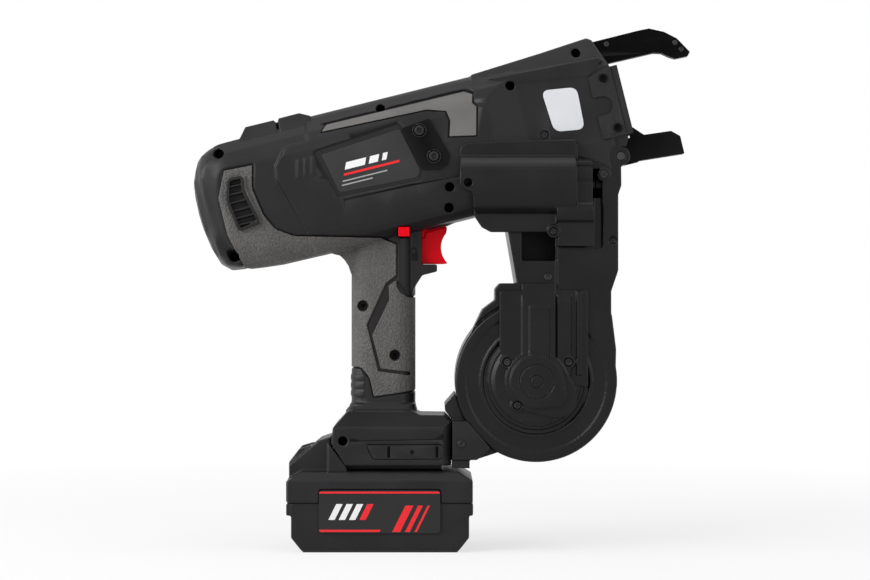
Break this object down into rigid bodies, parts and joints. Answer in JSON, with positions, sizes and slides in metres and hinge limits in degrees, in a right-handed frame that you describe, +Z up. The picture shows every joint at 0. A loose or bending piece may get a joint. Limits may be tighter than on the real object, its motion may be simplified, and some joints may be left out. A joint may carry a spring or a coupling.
{
  "type": "rebar tying tool",
  "caption": "Cordless pistol-grip rebar tying tool with a tilted barrel, curl guides, a wire reel magazine under the head and a slide-on battery foot.",
  "frame": {"origin": "centre of the battery's flat base", "axes": "+X to the muzzle, +Z up, -Y is the tool's right-hand side"},
  "size_m": [0.3203, 0.0877, 0.3341],
  "materials": {
    "black_plastic": "fine matte texture",
    "grey_rubber": "pebbled",
    "grey_plastic": "satin",
    "red_plastic": "smooth gloss",
    "black_steel": "satin black",
    "steel": "bright",
    "motor_iron": "wound core",
    "cell_wrap": "wrapped cells",
    "board": "solder mask",
    "label_print": "printed"
  },
  "bodies": {
    "housing": {"right_housing": "black_plastic", "left_housing": "black_plastic", "right_vent": "black_plastic", "left_vent": "black_plastic", "top_pads": "black_plastic", "trigger_switch": "black_plastic", "feed_cover": "black_plastic", "magazine_frame": "black_plastic", "magazine_cover": "black_plastic", "frame_cover": "black_plastic", "right_grip": "grey_rubber", "left_grip": "grey_rubber", "right_trim": "grey_plastic", "left_trim": "grey_plastic", "name_panel": "black_steel", "right_side_plate": "black_steel", "left_side_plate": "black_steel", "front_plate": "black_steel", "upper_guide": "black_steel", "saddle": "black_steel", "guide_rivets": "steel", "lower_guide_pin": "steel", "housing_screws": "steel", "plate_screws": "steel", "cover_screws": "steel", "ball_bearings": "steel", "ring_gear": "steel", "trigger_spring": "steel", "feed_motor": "steel", "hub_shaft": "steel", "wire_tube": "steel", "door_pin": "steel", "motor_stator": "motor_iron", "controller_board": "board"},
    "rotor": {"rotor_shaft": "steel", "rotor_core": "motor_iron", "cooling_fan": "black_plastic"},
    "carrier": {"gear_carrier": "steel"},
    "planet_1": {"planet_gear_1": "steel"},
    "planet_2": {"planet_gear_2": "steel"},
    "planet_3": {"planet_gear_3": "steel"},
    "sleeve": {"twist_sleeve": "steel"},
    "hook_near": {"near_hook": "steel"},
    "hook_far": {"far_hook": "steel"},
    "trigger": {"trigger": "red_plastic"},
    "lock": {"lock_button": "red_plastic"},
    "power": {"power_button": "red_plastic"},
    "guide": {"lower_guide": "black_steel", "lower_guide_spring": "steel"},
    "pinion": {"feed_pinion": "steel"},
    "drive": {"drive_roller": "steel"},
    "idler": {"idler_roller": "steel"},
    "reel": {"wire_reel": "black_plastic", "wire_winding": "steel"},
    "door": {"reel_door": "black_plastic"},
    "battery": {"battery_upper_case": "black_plastic", "battery_lower_case": "black_plastic", "battery_cells": "cell_wrap", "battery_label": "label_print"},
    "latch": {"battery_latch": "black_plastic"}
  },
  "joints": [
    {"name": "rotor_spin", "type": "hinge", "parent": "housing", "child": "rotor", "pos_m": [-0.108, 0, 0.21808], "axis": [0.9703, 0, 0.2419], "continuous": true},
    {"name": "carrier_spin", "type": "hinge", "parent": "housing", "child": "carrier", "pos_m": [-0.108, 0, 0.21808], "axis": [0.9703, 0, 0.2419], "continuous": true},
    {"name": "planet_1_spin", "type": "hinge", "parent": "carrier", "child": "planet_1", "pos_m": [-0.02067, 0.015, 0.23985], "axis": [0.9703, 0, 0.2419], "continuous": true},
    {"name": "planet_2_spin", "type": "hinge", "parent": "carrier", "child": "planet_2", "pos_m": [-0.02382, -0.0075, 0.25246], "axis": [0.9703, 0, 0.2419], "continuous": true},
    {"name": "planet_3_spin", "type": "hinge", "parent": "carrier", "child": "planet_3", "pos_m": [-0.01753, -0.0075, 0.22725], "axis": [0.9703, 0, 0.2419], "continuous": true},
    {"name": "sleeve_slide", "type": "slide", "parent": "carrier", "child": "sleeve", "axis": [0.9703, 0, 0.2419], "range_m": [0, 0.018]},
    {"name": "near_hook_swing", "type": "hinge", "parent": "sleeve", "child": "hook_near", "pos_m": [0.12196, -0.0045, 0.27542], "axis": [-0.2419, 0, 0.9703], "range_deg": [0, 12]},
    {"name": "far_hook_swing", "type": "hinge", "parent": "sleeve", "child": "hook_far", "pos_m": [0.12196, 0.0045, 0.27542], "axis": [-0.2419, 0, 0.9703], "range_deg": [-12, 0]},
    {"name": "trigger_pull", "type": "slide", "parent": "housing", "child": "trigger", "axis": [-1, 0, 0], "range_m": [0, 0.006], "stiffness_N_per_m": 500, "springref_m": -0.004, "deforming": ["trigger_spring"]},
    {"name": "lock_slide", "type": "slide", "parent": "housing", "child": "lock", "axis": [0, 1, 0], "range_m": [0, 0.006]},
    {"name": "power_press", "type": "slide", "parent": "housing", "child": "power", "axis": [0.2419, 0, -0.9703], "range_m": [0, 0.001], "stiffness_N_per_m": 800, "springref_m": -0.001},
    {"name": "guide_swing", "type": "hinge", "parent": "housing", "child": "guide", "pos_m": [0.15219, 0, 0.25049], "axis": [0, 1, 0], "range_deg": [0, 25], "stiffness_Nm_per_rad": 0.3, "springref_deg": -14.32},
    {"name": "drive_spin", "type": "hinge", "parent": "housing", "child": "drive", "pos_m": [0.135, -0.00852, 0.23339], "axis": [1, 0, 0], "continuous": true},
    {"name": "pinion_spin", "type": "hinge", "parent": "housing", "child": "pinion", "pos_m": [0.125, -0.02652, 0.23339], "axis": [1, 0, 0], "continuous": true},
    {"name": "idler_spin", "type": "hinge", "parent": "housing", "child": "idler", "pos_m": [0.135, 0.00852, 0.23339], "axis": [1, 0, 0], "continuous": true},
    {"name": "reel_spin", "type": "hinge", "parent": "housing", "child": "reel", "pos_m": [0.0986, 0, 0.108], "axis": [0, 1, 0], "continuous": true},
    {"name": "door_swing", "type": "hinge", "parent": "housing", "child": "door", "pos_m": [0.0986, 0.0347, 0.1673], "axis": [1, 0, 0], "range_deg": [0, 100]},
    {"name": "battery_slide", "type": "slide", "parent": "housing", "child": "battery", "axis": [-1, 0, 0], "range_m": [0, 0.1]},
    {"name": "latch_press", "type": "slide", "parent": "battery", "child": "latch", "axis": [0, 0, -1], "range_m": [0, 0.0026], "stiffness_N_per_m": 1500, "springref_m": -0.001}
  ],
  "couplings": [
    {"joint": "carrier_spin", "follows": "rotor_spin", "ratio": 0.2},
    {"joint": "planet_1_spin", "follows": "rotor_spin", "ratio": -0.53333},
    {"joint": "planet_2_spin", "follows": "rotor_spin", "ratio": -0.53333},
    {"joint": "planet_3_spin", "follows": "rotor_spin", "ratio": -0.53333},
    {"joint": "near_hook_swing", "follows": "sleeve_slide", "rad_per_m": 11.635},
    {"joint": "far_hook_swing", "follows": "sleeve_slide", "rad_per_m": -11.635},
    {"joint": "pinion_spin", "follows": "drive_spin", "ratio": -1.5714},
    {"joint": "idler_spin", "follows": "drive_spin", "ratio": -1}
  ]
}
